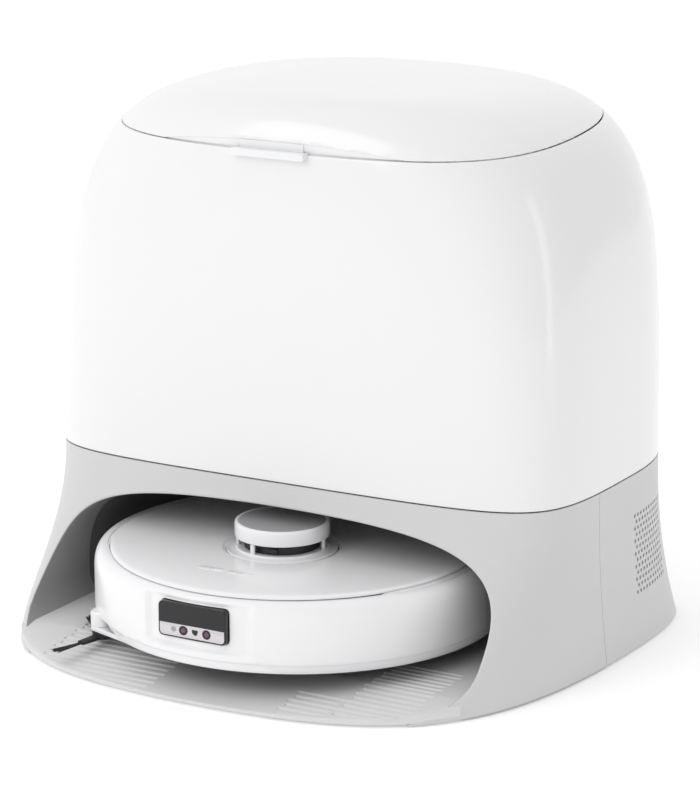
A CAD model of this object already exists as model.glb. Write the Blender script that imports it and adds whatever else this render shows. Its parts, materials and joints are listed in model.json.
import json
import math
import random

import bmesh
import bpy
import numpy as np
from mathutils import Matrix, Vector

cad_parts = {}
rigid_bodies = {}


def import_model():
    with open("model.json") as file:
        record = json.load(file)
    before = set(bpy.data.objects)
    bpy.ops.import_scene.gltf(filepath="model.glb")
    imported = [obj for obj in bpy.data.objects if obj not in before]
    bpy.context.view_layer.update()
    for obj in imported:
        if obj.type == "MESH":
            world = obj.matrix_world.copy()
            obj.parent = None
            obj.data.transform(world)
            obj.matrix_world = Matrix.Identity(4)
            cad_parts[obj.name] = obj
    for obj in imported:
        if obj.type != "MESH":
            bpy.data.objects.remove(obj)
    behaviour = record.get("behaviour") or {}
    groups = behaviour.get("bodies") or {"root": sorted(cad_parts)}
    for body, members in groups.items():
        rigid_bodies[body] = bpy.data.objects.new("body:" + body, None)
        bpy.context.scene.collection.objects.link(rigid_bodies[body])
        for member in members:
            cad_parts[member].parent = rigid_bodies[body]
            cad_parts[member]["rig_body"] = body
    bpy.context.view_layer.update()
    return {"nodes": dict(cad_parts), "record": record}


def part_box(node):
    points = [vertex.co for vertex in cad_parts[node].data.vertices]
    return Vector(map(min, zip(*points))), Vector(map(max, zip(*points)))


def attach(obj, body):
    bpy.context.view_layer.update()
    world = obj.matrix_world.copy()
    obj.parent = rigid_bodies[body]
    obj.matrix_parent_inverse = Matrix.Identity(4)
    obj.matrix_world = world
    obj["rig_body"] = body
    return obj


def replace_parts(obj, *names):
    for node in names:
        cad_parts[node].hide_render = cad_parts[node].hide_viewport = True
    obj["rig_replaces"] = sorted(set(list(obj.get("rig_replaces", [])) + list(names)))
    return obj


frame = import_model()
NODES = frame["nodes"]
BODY_OF = {n: o["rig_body"] for n, o in NODES.items()}
SLOT_OF = {p["node"]: p["material_slot"] for p in frame["record"]["subparts"]}
MM = 0.001
rng = random.Random(5)
np.random.seed(5)

# ------------------------------------------------------- dimensions in mm
FLOOR_GAP, WAIST_Z, APEX_Z, CAD_TOP_Z = 2.0, 150.0, 470.0, 469.6
WAIST = (250.0, -91.0, 236.0, 77.0, 5.4, 2.9)
BASE = (261.0, -241.0, 241.0, 89.0, 2.9, 3.5)
CROWN_SIDE, CROWN_FRONT, CROWN_REAR, CROWN_SQUARE = 4.7, 10.0, 7.2, 2.4
SEAM_Z, SEAM_TILT = 433.9, 0.07
SPLIT_Y = 12.0
RECESS_HALF, RECESS_RISE = 125.0, 9.0
ARCH = (214.0, 129.0, 35.0, 45.0, 3.2, 3.0)
LIP_BACK_Y, BAY_BACK_Y = -55.0, 132.0
DECK_Z = 14.0
RX, RY = 0.0, -49.0


# ----------------------------------------------------------- plain helpers
def fullness(n):
    return (2 ** (-1 / n) - 0.5) / 0.375


def quarter(q, half, end, middle, square):
    """Bezier quarter: q 0 on the side, 1 on the front or rear middle."""
    k = fullness(square)
    b0, b1, b2, b3 = (1 - q) ** 3, 3 * q * (1 - q) ** 2, 3 * q * q * (1 - q), q**3
    return half * (b0 + b1 + b2 * k), middle + (end - middle) * (b1 * k + b2 + b3)


def skirt_plan(z):
    f = np.clip((WAIST_Z - z) / (WAIST_Z - FLOOR_GAP), 0, 1) ** 2.2
    return [a + (b - a) * f for a, b in zip(WAIST, BASE)]


def crown_at(lift):
    """Plan outline of the white shell; lift is 1 at the waist and 0 at the apex."""
    half, front, rear, middle, sq_f, sq_r = WAIST

    def down(p):
        return (-np.expm1(p * np.log1p(-np.minimum(lift, 1 - 1e-15)))).clip(0) ** (1 / p)

    ease = (1 - lift) ** 1.5
    return (
        half * down(CROWN_SIDE),
        middle + (front - middle) * down(CROWN_FRONT),
        middle + (rear - middle) * down(CROWN_REAR),
        middle + 0 * ease,
        sq_f + (CROWN_SQUARE - sq_f) * ease,
        sq_r + (CROWN_SQUARE - sq_r) * ease,
    )


def crown_plan(z):
    return crown_at(1 - np.clip((z - WAIST_Z) / (APEX_Z - WAIST_Z), 0, 1))


def loop(plan, w):
    """Point on a plan outline; w runs 0 front, 1 at +X, 2 rear, 3 at -X, 4 front."""
    half, front, rear, middle, sq_f, sq_r = plan
    w = np.mod(w, 4.0)
    q = np.where(w <= 1, 1 - w, np.where(w <= 2, w - 1, np.where(w <= 3, 3 - w, w - 3)))
    is_front = (w <= 1) | (w >= 3)
    sign = np.where(w <= 2, 1.0, -1.0)
    x, y = quarter(q, half, np.where(is_front, front, rear), middle, np.where(is_front, sq_f, sq_r))
    return sign * x, y


def mesh_object(name, points, faces, smooth=True):
    me = bpy.data.meshes.new(name)
    me.from_pydata([tuple(p) for p in (np.asarray(points) * MM)], [], faces)
    me.update()
    if smooth:
        me.polygons.foreach_set("use_smooth", [True] * len(me.polygons))
    ob = bpy.data.objects.new(name, me)
    bpy.context.scene.collection.objects.link(ob)
    return ob


def grid_faces(rows, cols, wrap_rows=False, wrap_cols=False, start=0, flip=False):
    out = []
    for i in range(rows if wrap_rows else rows - 1):
        for j in range(cols if wrap_cols else cols - 1):
            a = start + i * cols + j
            b = start + i * cols + (j + 1) % cols
            c = start + ((i + 1) % rows) * cols + (j + 1) % cols
            d = start + ((i + 1) % rows) * cols + j
            out.append((a, d, c, b) if flip else (a, b, c, d))
    return out


class Build:
    """Collects grids into one mesh."""

    def __init__(self):
        self.points, self.faces = [], []

    def grid(self, array, wrap_rows=False, wrap_cols=False, flip=False):
        array = np.asarray(array, float)
        rows, cols = array.shape[:2]
        start = len(self.points)
        self.points.extend(array.reshape(-1, 3).tolist())
        self.faces.extend(grid_faces(rows, cols, wrap_rows, wrap_cols, start, flip))
        return self

    def poly(self, points, flip=False):
        start = len(self.points)
        points = [list(map(float, p)) for p in points]
        self.points.extend(points)
        order = list(range(start, start + len(points)))
        self.faces.append(tuple(reversed(order)) if flip else tuple(order))
        return self

    def make(self, name, merge=0.004):
        ob = mesh_object(name, self.points, self.faces)
        bm = bmesh.new()
        bm.from_mesh(ob.data)
        bmesh.ops.remove_doubles(bm, verts=bm.verts, dist=merge * MM)
        bmesh.ops.dissolve_degenerate(bm, edges=bm.edges, dist=1e-8)
        bmesh.ops.recalc_face_normals(bm, faces=bm.faces)
        bm.to_mesh(ob.data)
        bm.free()
        return ob


def apply_modifiers(ob):
    dg = bpy.context.evaluated_depsgraph_get()
    me = bpy.data.meshes.new_from_object(ob.evaluated_get(dg))
    ob.modifiers.clear()
    ob.data = me
    return ob


def smooth_by_angle(ob, degrees=35.0):
    me = ob.data
    bm = bmesh.new()
    bm.from_mesh(me)
    limit = math.radians(degrees)
    for f in bm.faces:
        f.smooth = True
    for e in bm.edges:
        e.smooth = len(e.link_faces) == 2 and e.calc_face_angle(0.0) < limit
    bm.to_mesh(me)
    bm.free()
    return ob


def thicken(ob, amount, inward=True):
    m = ob.modifiers.new("wall", "SOLIDIFY")
    m.thickness = amount * MM
    m.offset = -1 if inward else 1
    m.use_even_offset = False
    return apply_modifiers(ob)


def bevel(ob, width, segments=3, angle=40.0):
    m = ob.modifiers.new("edge", "BEVEL")
    m.width = width * MM
    m.segments = segments
    m.limit_method = "ANGLE"
    m.angle_limit = math.radians(angle)
    m.harden_normals = False
    return apply_modifiers(ob)


def lathe(name, profile, centre, steps=192, closed=True, flip=False):
    """Turns a profile of (radius, z) round an upright axis."""
    a = np.linspace(0, 2 * math.pi, steps, endpoint=False)
    p = np.asarray(profile, float)
    r, z = p[:, 0][:, None], p[:, 1][:, None]
    x = centre[0] + r * np.cos(a)[None]
    y = centre[1] + r * np.sin(a)[None]
    g = np.stack([x, y, z + 0 * x], -1)
    return Build().grid(g, wrap_rows=closed, wrap_cols=True, flip=flip).make(name)


def round_corner(points, radius, steps=5):
    """Rounds the corners of a closed outline of (a, b) points."""
    out = []
    n = len(points)
    for i in range(n):
        p0, p1, p2 = (np.array(points[(i + k) % n], float) for k in (-1, 0, 1))
        r = radius[i] if hasattr(radius, "__len__") else radius
        if r <= 0:
            out.append(tuple(p1))
            continue
        d0, d1 = p0 - p1, p2 - p1
        l0, l1 = np.linalg.norm(d0), np.linalg.norm(d1)
        r0, r1 = min(r, l0 * 0.49), min(r, l1 * 0.49)
        a, b = p1 + d0 / l0 * r0, p1 + d1 / l1 * r1
        for t in np.linspace(0, 1, steps + 1):
            out.append(tuple((1 - t) ** 2 * a + 2 * t * (1 - t) * p1 + t * t * b))
    return out


def prism(name, outline, low, high, axis="z", edge=0.4, segments=2):
    """Closed outline pushed along an axis, with small rounded edges."""
    bm = bmesh.new()

    def place(p, h):
        a, b = p
        return {"z": (a, b, h), "y": (a, h, b), "x": (h, a, b)}[axis]

    low_v = [bm.verts.new([c * MM for c in place(p, low)]) for p in outline]
    high_v = [bm.verts.new([c * MM for c in place(p, high)]) for p in outline]
    bm.faces.new(low_v)
    bm.faces.new(high_v)
    n = len(outline)
    for i in range(n):
        bm.faces.new((low_v[i], low_v[(i + 1) % n], high_v[(i + 1) % n], high_v[i]))
    bmesh.ops.recalc_face_normals(bm, faces=bm.faces)
    if edge > 0:
        rims = [e for e in bm.edges if e.calc_face_angle(0) > math.radians(60)]
        bmesh.ops.bevel(
            bm, geom=rims, offset=edge * MM, segments=segments, profile=0.5, affect="EDGES"
        )
    me = bpy.data.meshes.new(name)
    bm.to_mesh(me)
    bm.free()
    ob = bpy.data.objects.new(name, me)
    bpy.context.scene.collection.objects.link(ob)
    return smooth_by_angle(ob, 50)


def rounded_rect(cx, cy, w, h, r, steps=6):
    pts = [
        (cx - w / 2, cy - h / 2),
        (cx + w / 2, cy - h / 2),
        (cx + w / 2, cy + h / 2),
        (cx - w / 2, cy + h / 2),
    ]
    return round_corner(pts, r, steps)


def circle(cx, cy, r, steps=48):
    return [
        (cx + r * math.cos(2 * math.pi * i / steps), cy + r * math.sin(2 * math.pi * i / steps))
        for i in range(steps)
    ]


def join(name, obs):
    obs = [o for o in obs if o is not None]
    bpy.ops.object.select_all(action="DESELECT")
    for o in obs:
        o.select_set(True)
    bpy.context.view_layer.objects.active = obs[0]
    bpy.ops.object.join()
    obs[0].name = name
    return obs[0]


# ---------------------------------------------------------------- materials
def material(name, color, rough, metal=0.0, coat=0.0, bump=0.0, scale=900.0, mottle=0.0,
             transmission=0.0, alpha=1.0, coat_rough=0.05, sheen=0.0, streak=None, spec=0.5):
    m = bpy.data.materials.new(name)
    m.use_nodes = True
    nt = m.node_tree
    b = nt.nodes["Principled BSDF"]
    b.inputs["Base Color"].default_value = (*color, 1)
    b.inputs["Roughness"].default_value = rough
    b.inputs["Metallic"].default_value = metal
    b.inputs["Coat Weight"].default_value = coat
    b.inputs["Coat Roughness"].default_value = coat_rough
    b.inputs["Transmission Weight"].default_value = transmission
    b.inputs["Alpha"].default_value = alpha
    b.inputs["Sheen Weight"].default_value = sheen
    b.inputs["Specular IOR Level"].default_value = spec
    where = nt.nodes.new("ShaderNodeTexCoord")
    if mottle > 0:
        n = nt.nodes.new("ShaderNodeTexNoise")
        n.inputs["Scale"].default_value = scale * 0.05
        n.inputs["Detail"].default_value = 4
        nt.links.new(where.outputs["Object"], n.inputs["Vector"])
        ramp = nt.nodes.new("ShaderNodeMapRange")
        ramp.inputs["To Min"].default_value = max(rough - mottle, 0.02)
        ramp.inputs["To Max"].default_value = min(rough + mottle, 1)
        nt.links.new(n.outputs["Fac"], ramp.inputs["Value"])
        nt.links.new(ramp.outputs["Result"], b.inputs["Roughness"])
    if bump > 0:
        n = nt.nodes.new("ShaderNodeTexNoise")
        n.inputs["Scale"].default_value = scale
        n.inputs["Detail"].default_value = 2
        source = where.outputs["Object"]
        if streak:
            mp = nt.nodes.new("ShaderNodeMapping")
            mp.inputs["Scale"].default_value = streak
            nt.links.new(source, mp.inputs["Vector"])
            source = mp.outputs["Vector"]
        nt.links.new(source, n.inputs["Vector"])
        bp = nt.nodes.new("ShaderNodeBump")
        bp.inputs["Strength"].default_value = 1.0
        bp.inputs["Distance"].default_value = bump * MM
        nt.links.new(n.outputs["Fac"], bp.inputs["Height"])
        nt.links.new(bp.outputs["Normal"], b.inputs["Normal"])
    return m


M = {
    "shell_white": material(
        "shell_white", (0.84, 0.84, 0.85), 0.22, coat=0.6, mottle=0.02, bump=0.002, scale=260,
    ),
    "grey_skirt": material("grey_skirt", (0.63, 0.63, 0.635), 0.42, bump=0.012, scale=1500, mottle=0.04),
    "tray_grey": material("tray_grey", (0.7, 0.7, 0.705), 0.62, bump=0.03, scale=1200),
    "jamb_grey": material("jamb_grey", (0.34, 0.34, 0.345), 0.45, bump=0.012, scale=1500, mottle=0.04),
    "inner_grey": material("inner_grey", (0.17, 0.17, 0.173), 0.5, bump=0.02, scale=1300),
    "robot_white": material(
        "robot_white", (0.88, 0.88, 0.89), 0.3, coat=0.25, coat_rough=0.12, mottle=0.03, bump=0.006,
        scale=1100,
    ),
    "cap_grey": material("cap_grey", (0.36, 0.36, 0.37), 0.4, bump=0.01, scale=1400),
    "window_glass": material("window_glass", (0.01, 0.01, 0.012), 0.07, coat=0.25, mottle=0.01, spec=0.35),
    "lens": material("lens", (0.12, 0.02, 0.1), 0.06, coat=1.0, mottle=0.01),
    "black_plastic": material("black_plastic", (0.025, 0.025, 0.027), 0.45, bump=0.02, scale=1200),
    "clear_tank": material("clear_tank", (0.72, 0.76, 0.8), 0.12, transmission=0.7, coat=0.3, mottle=0.02),
    "dark_tank": material("dark_tank", (0.12, 0.12, 0.13), 0.16, transmission=0.45, coat=0.3, mottle=0.02),
    "rubber_black": material("rubber_black", (0.02, 0.02, 0.02), 0.75, bump=0.04, scale=900),
    "rubber_grey": material("rubber_grey", (0.16, 0.16, 0.165), 0.7, bump=0.04, scale=900),
    "tyre": material("tyre", (0.025, 0.025, 0.027), 0.8, bump=0.06, scale=700),
    "bag_fabric": material("bag_fabric", (0.8, 0.79, 0.75), 0.9, bump=0.12, scale=420, sheen=0.3),
    "card": material("card", (0.6, 0.5, 0.36), 0.85, bump=0.03, scale=500, streak=(1, 6, 1)),
    "mop_cloth": material("mop_cloth", (0.42, 0.45, 0.5), 0.95, bump=0.5, scale=380, sheen=0.6),
    "bristle": material("bristle", (0.02, 0.02, 0.022), 0.6, bump=0.03, scale=700),
    "steel": material("steel", (0.6, 0.6, 0.61), 0.32, metal=1.0, bump=0.01, scale=300, streak=(1, 1, 12)),
    "contact_metal": material(
        "contact_metal", (0.75, 0.6, 0.35), 0.22, metal=1.0, bump=0.006, scale=500, streak=(10, 1, 1),
    ),
    "pcb": material("pcb", (0.02, 0.14, 0.05), 0.35, coat=0.3, bump=0.03, scale=250),
    "battery_wrap": material("battery_wrap", (0.05, 0.11, 0.24), 0.3, bump=0.03, scale=120),
    "dark_gap": material("dark_gap", (0.05, 0.05, 0.052), 0.8, bump=0.02, scale=900),
    "silver_strip": material(
        "silver_strip", (0.66, 0.64, 0.66), 0.25, metal=0.8, bump=0.01, scale=700, streak=(1, 1, 8),
    ),
}


def finish_piece(ob, nodes, slot_name=None, mat=None, body=None):
    """Gives a piece its material, its slot, its body, and what it stands for."""
    if isinstance(nodes, str):
        nodes = [nodes]
    slot_name = slot_name or SLOT_OF[nodes[0]]
    if mat is not False:
        ob.data.materials.clear()
        ob.data.materials.append(M[mat or slot_name])
    if body is None:
        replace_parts(ob, *nodes)
    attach(ob, body or BODY_OF[nodes[0]])
    return ob


def trim(ob, body, slot_name, mat=None):
    return finish_piece(ob, [], slot_name, mat, body)


# ------------------------------------------------------------ upper shell, lid
def crown_point(w, z):
    x, y = loop(crown_plan(z), w)
    return x, y


def seam_height(w, raise_by):
    z = np.full_like(w, SEAM_Z)
    for _ in range(12):
        _, y = crown_point(w, z)
        z = SEAM_Z + SEAM_TILT * y + raise_by
    return z


FRONT_SEAM_Z = SEAM_Z + SEAM_TILT * WAIST[1]
ARC_R = (RECESS_HALF**2 + RECESS_RISE**2) / (2 * RECESS_RISE)


def loop_columns(n):
    """Columns round the outline, closer together at the corners."""
    t = np.linspace(0, 4, n, endpoint=False)
    return t


def build_upper_shell():
    w = loop_columns(640)
    top = seam_height(w, -0.4)
    v = np.concatenate([np.linspace(0, 0.7, 40, endpoint=False), np.linspace(0.7, 1, 50)])[:, None]
    low = WAIST_Z + 0.9
    z = low + (top[None] - low) * v
    wg = np.broadcast_to(w[None], z.shape)
    x, y = crown_point(wg, z)
    outer = np.stack([x, y, z], -1)
    ob = Build().grid(outer, wrap_cols=True).make("upper_shell_skin")
    thicken(ob, 2.8)
    bevel(ob, 0.55, 3, 50)
    smooth_by_angle(ob, 50)
    return ob


def build_lid():
    w = loop_columns(640)
    low = seam_height(w, 0.4)
    z = low.copy()
    for _ in range(12):
        x, y = crown_point(w, z)
        inside = (np.abs(x) < RECESS_HALF) & (y < 0)
        arc = FRONT_SEAM_Z + RECESS_RISE - (ARC_R - np.sqrt(np.clip(ARC_R**2 - x**2, 1, None)))
        z = np.where(inside, np.maximum(low, arc), low)
    low = z
    rise = (low - WAIST_Z) / (APEX_Z - WAIST_Z)
    h0 = (1 - rise**CROWN_SIDE) ** (1 / CROWN_SIDE)
    s = np.concatenate([np.linspace(1, 0.06, 64), np.geomspace(0.05, 2e-4, 18)])[:, None]
    h = h0[None] * s
    rise = (1 - h**CROWN_SIDE) ** (1 / CROWN_SIDE)
    lift = -np.expm1(np.log1p(-np.minimum(h**CROWN_SIDE, 1 - 1e-12)) / CROWN_SIDE)
    zg = APEX_Z - lift * (APEX_Z - WAIST_Z)
    wg = np.broadcast_to(w[None], zg.shape)
    x, y = loop(crown_at(lift), wg)
    squeeze = (CAD_TOP_Z - SEAM_Z) / (APEX_Z - SEAM_Z)
    zv = np.where(zg > SEAM_Z + 12, SEAM_Z + 12 + (zg - SEAM_Z - 12) * squeeze, zg)
    outer = np.stack([x, y, zv], -1)
    b = Build().grid(outer, wrap_cols=True)
    b.poly([(float(p[0]), float(p[1]), float(p[2])) for p in outer[-1]])
    ob = b.make("lid_skin")
    thicken(ob, 2.8)
    bevel(ob, 0.55, 3, 50)
    smooth_by_angle(ob, 50)
    return ob


def build_lid_scoop():
    """The shallow hollow between the lid's raised front edge and the seam."""
    rows, cols = 14, 150
    w = np.linspace(3.2, 4.8, 900) % 4.0
    x_all, _ = crown_point(w, np.full_like(w, FRONT_SEAM_Z))
    half = RECESS_HALF - 6.0
    keep = np.abs(x_all) < half
    w = np.interp(
        np.linspace(0, keep.sum() - 1, cols), np.arange(keep.sum()), np.unwrap(w[keep], period=4.0),
    ) % 4.0
    bottom = seam_height(w, 0.5)
    x, y = crown_point(w, bottom)
    top = np.maximum(FRONT_SEAM_Z + RECESS_RISE - (ARC_R - np.sqrt(ARC_R**2 - x**2)) + 0.9, bottom + 0.3)
    points = []
    for t in np.linspace(0, 1, rows):
        z = bottom + (top - bottom) * t
        x, y = crown_point(w, z)
        sink = 0.7 + 2.6 * (1 - t) ** 1.6 * np.clip((top - bottom) / RECESS_RISE, 0, 1)
        points.append(np.stack([x * (1 - sink / 600), y + sink, z], -1))
    ob = Build().grid(np.stack(points, 0)).make("lid_front_scoop")
    thicken(ob, 1.4)
    return smooth_by_angle(ob, 50)


# --------------------------------------------------------------- grey skirt
def skirt_point(w, z):
    return loop(skirt_plan(z), w)


def solve_w(z, value, axis, lo, hi):
    """w in [lo, hi] where x (axis 0) or y (axis 1) of the skirt meets a value."""
    z = np.asarray(z, float)
    value = np.broadcast_to(np.asarray(value, float), z.shape).copy()
    a, b = np.full(z.shape, lo), np.full(z.shape, hi)
    fa = np.asarray(skirt_point(a, z)[axis]) - value
    for _ in range(48):
        mid = (a + b) / 2
        fm = np.asarray(skirt_point(mid, z)[axis]) - value
        same = np.sign(fm) == np.sign(fa)
        a, b = np.where(same, mid, a), np.where(same, b, mid)
    return (a + b) / 2


def arch_outline(outset, n=160):
    """Right half of the opening, from the top middle to the floor."""
    half, top, middle, below, sq_low, sq_top = ARCH[0], ARCH[1], ARCH[2], ARCH[3], ARCH[5], ARCH[4]
    q = np.linspace(1, 0, n)
    xa, za = quarter(q, half + outset, top + outset, middle, sq_top)
    q = np.linspace(0, 1, n)[1:]
    xb, zb = quarter(q, half + outset, middle - below - outset, middle, sq_low)
    x, z = np.concatenate([xa, xb]), np.concatenate([za, zb])
    keep = z >= FLOOR_GAP
    k = int(np.argmin(keep)) if not keep.all() else len(z)
    f = (z[k - 1] - FLOOR_GAP) / (z[k - 1] - z[k])
    xe = x[k - 1] + f * (x[k] - x[k - 1])
    return np.append(x[:k], xe), np.append(z[:k], FLOOR_GAP)


def resample(x, z, n):
    d = np.concatenate([[0], np.cumsum(np.hypot(np.diff(x), np.diff(z)))])
    t = np.linspace(0, d[-1], n)
    return np.interp(t, d, x), np.interp(t, d, z)


FASCIA_TOP = WAIST_Z - 0.3


def build_front_fascia():
    n = 220
    corner = int(n * 0.56)
    lip_r = 3.0
    ex, ez = arch_outline(0.0)
    ox, oz = arch_outline(lip_r)
    ex, ez = resample(ex, ez, n)
    ox, oz = resample(ox, oz, n)
    wa = solve_w(oz, ox, 0, 0.0, 1.0)
    split_top = float(solve_w(np.array([FASCIA_TOP]), SPLIT_Y, 1, 0.0, 1.0)[0])
    top_w = np.linspace(0, 1, corner + 1) * split_top
    side_z = np.linspace(FASCIA_TOP, FLOOR_GAP + 0.2, n - corner)[1:]
    side_w = solve_w(side_z, SPLIT_Y - 0.3, 1, 0.0, 1.0)
    bw = np.concatenate([top_w, side_w])
    bz = np.concatenate([np.full(corner + 1, FASCIA_TOP), side_z])
    s = (np.linspace(0, 1, 44) ** 1.25)[:, None]
    wg = wa[None] + (bw - wa)[None] * s
    zg = oz[None] + (bz - oz)[None] * s
    x, y = skirt_point(wg, zg)
    outer = np.stack([x, y, zg], -1)
    we = solve_w(ez, ex, 0, 0.0, 1.0)
    _, ye = skirt_point(we, ez)
    a = outer[0]
    e = np.stack([ex, ye, ez], -1)
    bpt = e + np.array([0, lip_r * 1.25, 0])
    t = np.linspace(0, 1, 9)[1:, None, None]
    fillet = (1 - t) ** 2 * a[None] + 2 * t * (1 - t) * e[None] + t * t * bpt[None]
    depth = np.linspace(0, 1, 14)[1:, None]
    wall = np.stack(
        [
            np.broadcast_to(ex[None], (13, n)),
            bpt[None, :, 1] + (LIP_BACK_Y - bpt[None, :, 1]) * depth,
            np.broadcast_to(ez[None], (13, n)),
        ],
        -1,
    )
    ix, iy = skirt_point(bw, bz)
    edge = np.stack([ix, iy, bz], -1)
    centre = np.array([0.0, 80.0, 0.0])
    direction = centre[None] - edge * np.array([1, 1, 0])
    direction[:, 2] = 0
    direction /= np.linalg.norm(direction, axis=1)[:, None]
    ret1 = edge + direction * 0.25 + np.array([0, 0, 0.0])
    ret = edge + direction * 3.0
    strips = np.concatenate([wall[::-1], fillet[::-1], outer, ret1[None], ret[None]], 0)
    b = Build()
    b.grid(strips)
    mirrored = strips * np.array([-1, 1, 1])
    b.grid(mirrored, flip=True)
    ob = b.make("front_fascia_skin", merge=0.02)
    smooth_by_angle(ob, 40)
    thick = ob.modifiers.new("wall", "SOLIDIFY")
    thick.thickness = 1.2 * MM
    thick.offset = -1
    apply_modifiers(ob)
    smooth_by_angle(ob, 40)
    shade_jamb(ob)
    return ob


def shade_jamb(ob):
    """The faces that line the arch take the liner's darker plastic."""
    ob.data.materials.append(M["grey_skirt"])
    ob.data.materials.append(M["jamb_grey"])
    for face in ob.data.polygons:
        x, _, z = face.center
        inward = Vector((-x, 0, 0.045 - z)).normalized()
        lining = face.normal.dot(inward) > 0.35 and abs(face.normal.y) < 0.55
        face.material_index = 1 if lining and z < 0.128 and abs(x) < 0.2145 else 0


VENT_Y, VENT_Z, VENT_PITCH, VENT_ROWS, VENT_COLS, VENT_R = 112.0, 80.0, 6.4, 13, 11, 1.75
VENT_STEP = VENT_PITCH * math.sqrt(3) / 2


def side_x(y, z):
    """x of the skirt's +X side at (y, z)."""
    y, z = np.broadcast_arrays(np.asarray(y, float), np.asarray(z, float))
    w = solve_w(z, y, 1, 0.6, 1.98)
    return skirt_point(w, z)[0]


def build_rear_housing():
    b = Build()
    y0, y1 = VENT_Y - VENT_COLS * VENT_PITCH / 2, VENT_Y + VENT_COLS * VENT_PITCH / 2
    z0, z1 = VENT_Z - VENT_ROWS * VENT_STEP / 2, VENT_Z + VENT_ROWS * VENT_STEP / 2
    top, low = WAIST_Z - 0.3, FLOOR_GAP + 0.2
    zs = np.concatenate(
        [np.linspace(low, z0, 14), np.linspace(z0, z1, 27)[1:], np.linspace(z1, top, 14)[1:]]
    )

    def band(wl, wr, cols, z_list):
        t = np.linspace(0, 1, cols)[None]
        zz = np.broadcast_to(z_list[:, None], (len(z_list), cols))
        wg = wl[:, None] + (wr - wl)[:, None] * t
        x, y = skirt_point(wg, zz)
        b.grid(np.stack([x, y, zz], -1))

    ws = solve_w(zs, SPLIT_Y + 0.3, 1, 0.0, 1.0)
    wa = solve_w(zs, y0, 1, 0.6, 1.6)
    wb = solve_w(zs, y1, 1, 0.9, 1.9)
    band(ws, wa, 26, zs)
    band(wb, 4 - ws, 300, zs)
    for lo, hi, n in ((low, z0, 14), (z1, top, 14)):
        zz = np.linspace(lo, hi, n)[:, None]
        yy = np.linspace(y0, y1, 45)[None]
        zz, yy = np.broadcast_arrays(zz, yy)
        b.grid(np.stack([side_x(yy, zz), yy, zz], -1))
    # vent cells: a rectangle with a round hole, rows staggered by half a pitch
    segs = 24
    angles = np.linspace(0, 2 * math.pi, segs, endpoint=False) + math.pi / segs * 0
    holes = []
    for row in range(VENT_ROWS):
        zc = VENT_Z + (row - (VENT_ROWS - 1) / 2) * VENT_STEP
        count = VENT_COLS if row % 2 == 0 else VENT_COLS - 1
        for c in range(count):
            holes.append((VENT_Y + (c - (count - 1) / 2) * VENT_PITCH, zc))
        if row % 2:
            for side in (0, 1):
                ya = y0 if side == 0 else y1 - VENT_PITCH / 2
                yy = np.linspace(ya, ya + VENT_PITCH / 2, 3)[None]
                zz = np.linspace(zc - VENT_STEP / 2, zc + VENT_STEP / 2, 3)[:, None]
                zz, yy = np.broadcast_arrays(zz, yy)
                b.grid(np.stack([side_x(yy, zz), yy, zz], -1))
    ca, sa = np.cos(angles), np.sin(angles)
    reach = np.minimum(
        VENT_PITCH / 2 / np.maximum(np.abs(ca), 1e-9), VENT_STEP / 2 / np.maximum(np.abs(sa), 1e-9),
    )
    corner = math.atan2(VENT_STEP / 2, VENT_PITCH / 2)
    targets = [corner, math.pi - corner, math.pi + corner, 2 * math.pi - corner]
    snap = {int(round(t / (2 * math.pi) * segs)) % segs: t for t in targets}
    hy = np.array([h[0] for h in holes])[:, None]
    hz = np.array([h[1] for h in holes])[:, None]
    oy, oz = ca * reach, sa * reach
    for k, t in snap.items():
        oy[k], oz[k] = math.copysign(VENT_PITCH / 2, math.cos(t)), math.copysign(VENT_STEP / 2, math.sin(t))
    rings = []
    for rr in (None, VENT_R + 0.55, VENT_R + 0.22):
        yy = hy + (oy[None] if rr is None else rr * ca[None])
        zz = hz + (oz[None] if rr is None else rr * sa[None])
        rings.append(np.stack([side_x(yy, zz), yy, zz], -1))
    yy, zz = hy + VENT_R * ca[None], hz + VENT_R * sa[None]
    xr = side_x(yy, zz)
    rings.append(np.stack([xr - 0.12, yy, zz], -1))
    rings.append(np.stack([xr - 0.5, yy, zz], -1))
    rings.append(np.stack([xr - 3.0, yy, zz], -1))
    rings = np.stack(rings, 0)
    for i in range(len(holes)):
        b.grid(rings[:, i], wrap_cols=True)
    # returns at the rims
    for zc, wl, wr, cols in ((top, ws[-1], 4 - ws[-1], 400), (low, ws[0], 4 - ws[0], 400)):
        wg = np.linspace(wl, wr, cols)
        x, y = skirt_point(wg, np.full(cols, zc))
        edge = np.stack([x, y, np.full(cols, zc)], -1)
        d = np.array([0.0, 60.0, zc])[None] - edge
        d[:, 2] = 0
        d /= np.linalg.norm(d, axis=1)[:, None]
        b.grid(np.stack([edge, edge + d * 3.0], 0))
    for mirror in (1, -1):
        x, y = skirt_point(ws, zs)
        edge = np.stack([x * mirror, y, zs], -1)
        b.grid(np.stack([edge, edge + np.array([-3.0 * mirror, 0, 0])], 0))
    ob = b.make("rear_housing_skin", merge=0.02)
    smooth_by_angle(ob, 40)
    return ob


# -------------------------------------------------------------- bay and tray
RIB_FIELDS = ((-160.0, -40.0, -236.0, -96.0), (78.0, 122.0, -236.0, -181.0), (122.0, 184.0, -236.0, -98.0))
RIB_PITCH = 8.0


def tray_height(y):
    return np.minimum(DECK_Z, 4.0 + (DECK_Z - 4.0) / 92.0 * (y + 242.0))


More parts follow.
